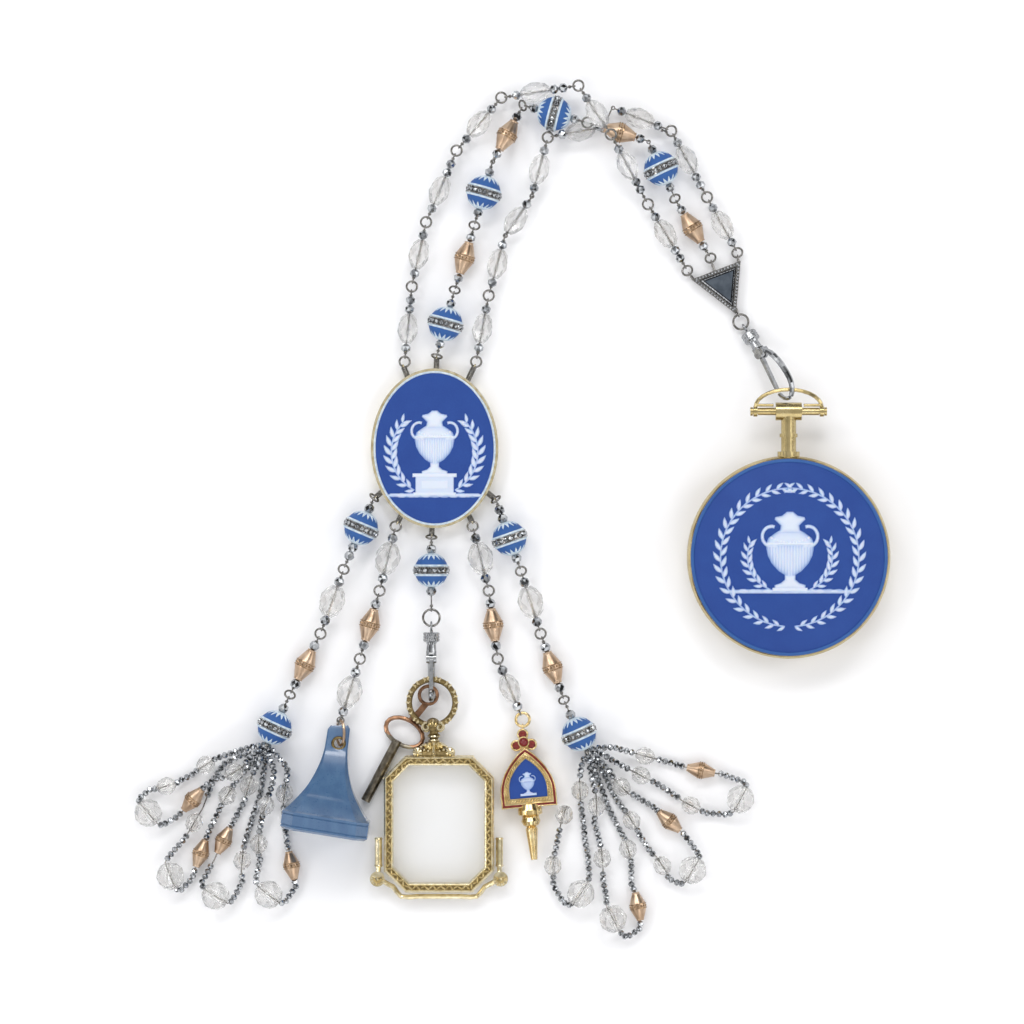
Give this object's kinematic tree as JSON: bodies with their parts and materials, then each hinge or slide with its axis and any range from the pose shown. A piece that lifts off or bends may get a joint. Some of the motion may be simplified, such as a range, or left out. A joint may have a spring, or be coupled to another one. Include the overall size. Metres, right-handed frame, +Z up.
{
  "type": "chatelaine",
  "caption": "Decorative beaded chatelaine: strands from a steel triangle to an oval plaque, with tassels, watch, seal, locket, crank key and small pendants on spring clips.",
  "frame": {"origin": "middle of the base of the bounding box, on the surface it lies on", "axes": "+Y from the lower pendants towards the top of the strands, +Z up out of the surface, +X towards the watch"},
  "size_m": [0.2107, 0.2402, 0.02],
  "materials": {
    "cut_steel": "cut and polished",
    "dark_steel": "blackened, bevelled",
    "gilt_metal": "worn gilding",
    "copper_gilt": "rubbed gilding over copper",
    "clear_glass": "cut and polished",
    "blue_jasper": "matt",
    "white_relief": "matt",
    "enamel_dial": "glazed",
    "blue_stone": "polished",
    "ruby_glass": "polished"
  },
  "bodies": {
    "chains": {"triangle_frame": "cut_steel", "triangle_plate": "dark_steel", "plaque_frame": "gilt_metal", "plaque_jasper": "blue_jasper", "plaque_relief": "white_relief", "outer_links": "cut_steel", "outer_steel_beads": "cut_steel", "outer_crystals": "clear_glass", "middle_links": "cut_steel", "middle_steel_beads": "cut_steel", "middle_gilt_beads": "gilt_metal", "middle_jasper_beads": "blue_jasper", "middle_belts": "cut_steel", "inner_links": "cut_steel", "inner_steel_beads": "cut_steel", "inner_crystals": "clear_glass", "left_chain": "cut_steel", "seal_chain": "cut_steel", "centre_chain": "cut_steel", "key_chain": "cut_steel", "right_chain": "cut_steel", "lower_crystals": "clear_glass", "lower_gilt_beads": "gilt_metal", "lower_jasper_beads": "blue_jasper", "lower_belts": "cut_steel", "left_tassel_head": "blue_jasper", "left_tassel_strings": "cut_steel", "left_tassel_crystals": "clear_glass", "left_tassel_gilt": "gilt_metal", "right_tassel_head": "blue_jasper", "right_tassel_strings": "cut_steel", "right_tassel_crystals": "clear_glass", "right_tassel_gilt": "gilt_metal", "watch_clip_eye": "cut_steel", "centre_clip_eye": "cut_steel", "seal_body": "blue_stone", "seal_long_link": "gilt_metal", "arch_frame": "gilt_metal", "arch_jasper": "blue_jasper", "arch_relief": "white_relief", "arch_stone": "ruby_glass"},
    "watch_clip": {"watch_clip_hook": "cut_steel", "watch_bow": "gilt_metal"},
    "watch_clip_lever": {"watch_clip_lever": "cut_steel"},
    "watch": {"watch_case": "gilt_metal", "watch_dial": "enamel_dial", "watch_glass": "clear_glass", "watch_jasper": "blue_jasper", "watch_relief": "white_relief"},
    "centre_clip": {"centre_clip_hook": "cut_steel", "locket_frame": "gilt_metal", "locket_glass": "clear_glass", "locket_bracket": "gilt_metal", "crank_key": "copper_gilt"},
    "centre_clip_lever": {"centre_clip_lever": "cut_steel"}
  },
  "joints": [
    {"name": "watch_clip_swivel", "type": "hinge", "parent": "chains", "child": "watch_clip", "pos_m": [0.06512, 0.05142, 0.0014], "axis": [0.4882, -0.8029, 0.342], "continuous": true},
    {"name": "watch_clip_opening", "type": "hinge", "parent": "watch_clip", "child": "watch_clip_lever", "pos_m": [0.06952, 0.0442, 0.00448], "axis": [-0.7298, -0.1607, 0.6645], "range_deg": [0, 20], "stiffness_Nm_per_rad": 0.004, "springref_deg": -5.73},
    {"name": "watch_bow_hinge", "type": "hinge", "parent": "watch_clip", "child": "watch", "pos_m": [0.077, 0.028, 0.0085], "axis": [1, 0, 0], "range_deg": [-90, 90]},
    {"name": "centre_clip_swivel", "type": "hinge", "parent": "chains", "child": "centre_clip", "pos_m": [-0.0225, -0.0318, 0.0052], "axis": [0, -1, 0], "range_deg": [-140, 140]},
    {"name": "centre_clip_opening", "type": "hinge", "parent": "centre_clip", "child": "centre_clip_lever", "pos_m": [-0.0225, -0.0408, 0.0052], "axis": [-1, 0, 0], "range_deg": [0, 15], "stiffness_Nm_per_rad": 0.004, "springref_deg": -5.73}
  ]
}
